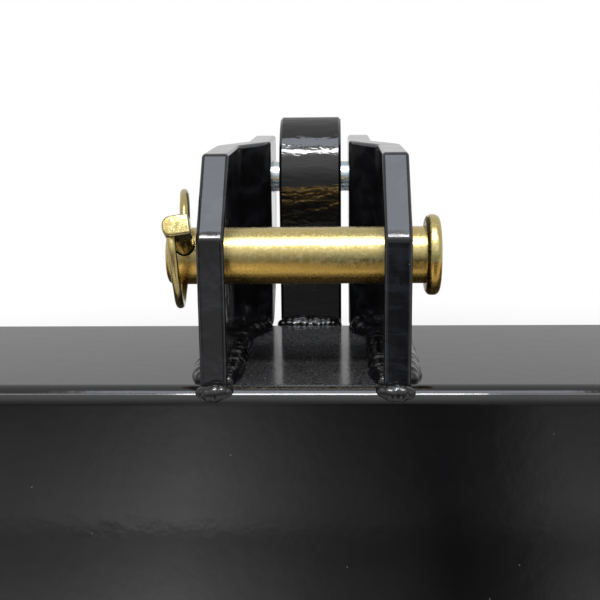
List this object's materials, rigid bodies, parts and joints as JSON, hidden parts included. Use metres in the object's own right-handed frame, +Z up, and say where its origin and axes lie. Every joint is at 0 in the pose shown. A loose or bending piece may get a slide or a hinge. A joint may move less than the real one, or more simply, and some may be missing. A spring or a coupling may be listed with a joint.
{
  "type": "three point quick hitch",
  "caption": "Tractor quick hitch: inverted-U tube frame with top link clevis and pin, fixed top hook, and spring-latched lower hooks with link studs and linchpins.",
  "frame": {"origin": "on the top link pin's axis, midway between the clevis cheeks", "axes": "+X across the tractor to its right as seen from the tractor, +Y back towards the implement, +Z up"},
  "size_m": [0.827, 0.2435, 0.5376],
  "materials": {
    "black_paint": "gloss",
    "weld_paint": "gloss, rippled",
    "lever_paint": "gloss",
    "yellow_zinc": "yellow zinc plate",
    "linchpin_zinc": "yellow zinc plate",
    "ring_zinc": "yellow zinc plate",
    "white_zinc": "white zinc plate",
    "spring_zinc": "white zinc plate",
    "grip_vinyl": "dipped vinyl"
  },
  "bodies": {
    "frame": {"crossbar_tube": "black_paint", "crossbar_cap_left": "black_paint", "crossbar_cap_right": "black_paint", "cheek_left": "black_paint", "cheek_right": "black_paint", "top_hook": "black_paint", "tie_bolt": "white_zinc", "tie_nut": "white_zinc", "tie_washers": "white_zinc", "leg_left": "black_paint", "leg_right": "black_paint", "leg_foot_left": "black_paint", "leg_foot_right": "black_paint", "lower_hook_left": "black_paint", "lower_hook_right": "black_paint", "lower_stud_left": "yellow_zinc", "lower_stud_right": "yellow_zinc", "pivot_bolt_left": "white_zinc", "pivot_bolt_right": "white_zinc", "pivot_nut_left": "white_zinc", "pivot_nut_right": "white_zinc", "spring_peg_left": "black_paint", "spring_peg_right": "black_paint", "latch_stop_left": "black_paint", "latch_stop_right": "black_paint", "clevis_weld_left": "weld_paint", "clevis_weld_right": "weld_paint", "hook_welds": "weld_paint", "leg_welds_left": "weld_paint", "leg_welds_right": "weld_paint", "latch_spring_left": "spring_zinc", "latch_spring_right": "spring_zinc"},
    "top_pin": {"top_pin": "yellow_zinc"},
    "top_linchpin": {"top_linchpin": "linchpin_zinc"},
    "top_ring": {"top_linchpin_ring": "ring_zinc"},
    "latch_left": {"latch_lever_left": "lever_paint", "latch_grip_left": "grip_vinyl"},
    "latch_right": {"latch_lever_right": "lever_paint", "latch_grip_right": "grip_vinyl"},
    "linchpin_left": {"lower_linchpin_left": "linchpin_zinc"},
    "linchpin_right": {"lower_linchpin_right": "linchpin_zinc"},
    "ring_left": {"lower_linchpin_ring_left": "ring_zinc"},
    "ring_right": {"lower_linchpin_ring_right": "ring_zinc"}
  },
  "joints": [
    {"name": "top_pin_float", "type": "slide", "parent": "frame", "child": "top_pin", "axis": [1, 0, 0], "range_m": [-0.0049, 0]},
    {"name": "top_linchpin_draw", "type": "slide", "parent": "top_pin", "child": "top_linchpin", "axis": [0, -0.8545, 0.5195], "range_m": [-0.0109, 0]},
    {"name": "top_ring_flip", "type": "hinge", "parent": "top_linchpin", "child": "top_ring", "pos_m": [-0.0404, -0.02049, 0.01246], "axis": [0, 0.5195, 0.8545], "range_deg": [0, 170]},
    {"name": "latch_left_open", "type": "hinge", "parent": "frame", "child": "latch_left", "pos_m": [-0.3559, 0.082, -0.35], "axis": [-1, 0, 0], "range_deg": [0, 26], "stiffness_Nm_per_rad": 8, "springref_deg": -17.19, "deforming": ["latch_spring_left"]},
    {"name": "lower_linchpin_left_draw", "type": "slide", "parent": "frame", "child": "linchpin_left", "axis": [0, 0, 1], "range_m": [0, 0.05]},
    {"name": "lower_ring_left_close", "type": "hinge", "parent": "linchpin_left", "child": "ring_left", "pos_m": [-0.4015, 0, -0.4432], "axis": [0, -1, 0], "range_deg": [0, 180]},
    {"name": "latch_right_open", "type": "hinge", "parent": "frame", "child": "latch_right", "pos_m": [0.3559, 0.082, -0.35], "axis": [-1, 0, 0], "range_deg": [0, 26], "stiffness_Nm_per_rad": 8, "springref_deg": -17.19, "deforming": ["latch_spring_right"]},
    {"name": "lower_linchpin_right_draw", "type": "slide", "parent": "frame", "child": "linchpin_right", "axis": [0, 0, 1], "range_m": [0, 0.05]},
    {"name": "lower_ring_right_close", "type": "hinge", "parent": "linchpin_right", "child": "ring_right", "pos_m": [0.4015, 0, -0.4432], "axis": [0, 1, 0], "range_deg": [0, 180]}
  ]
}
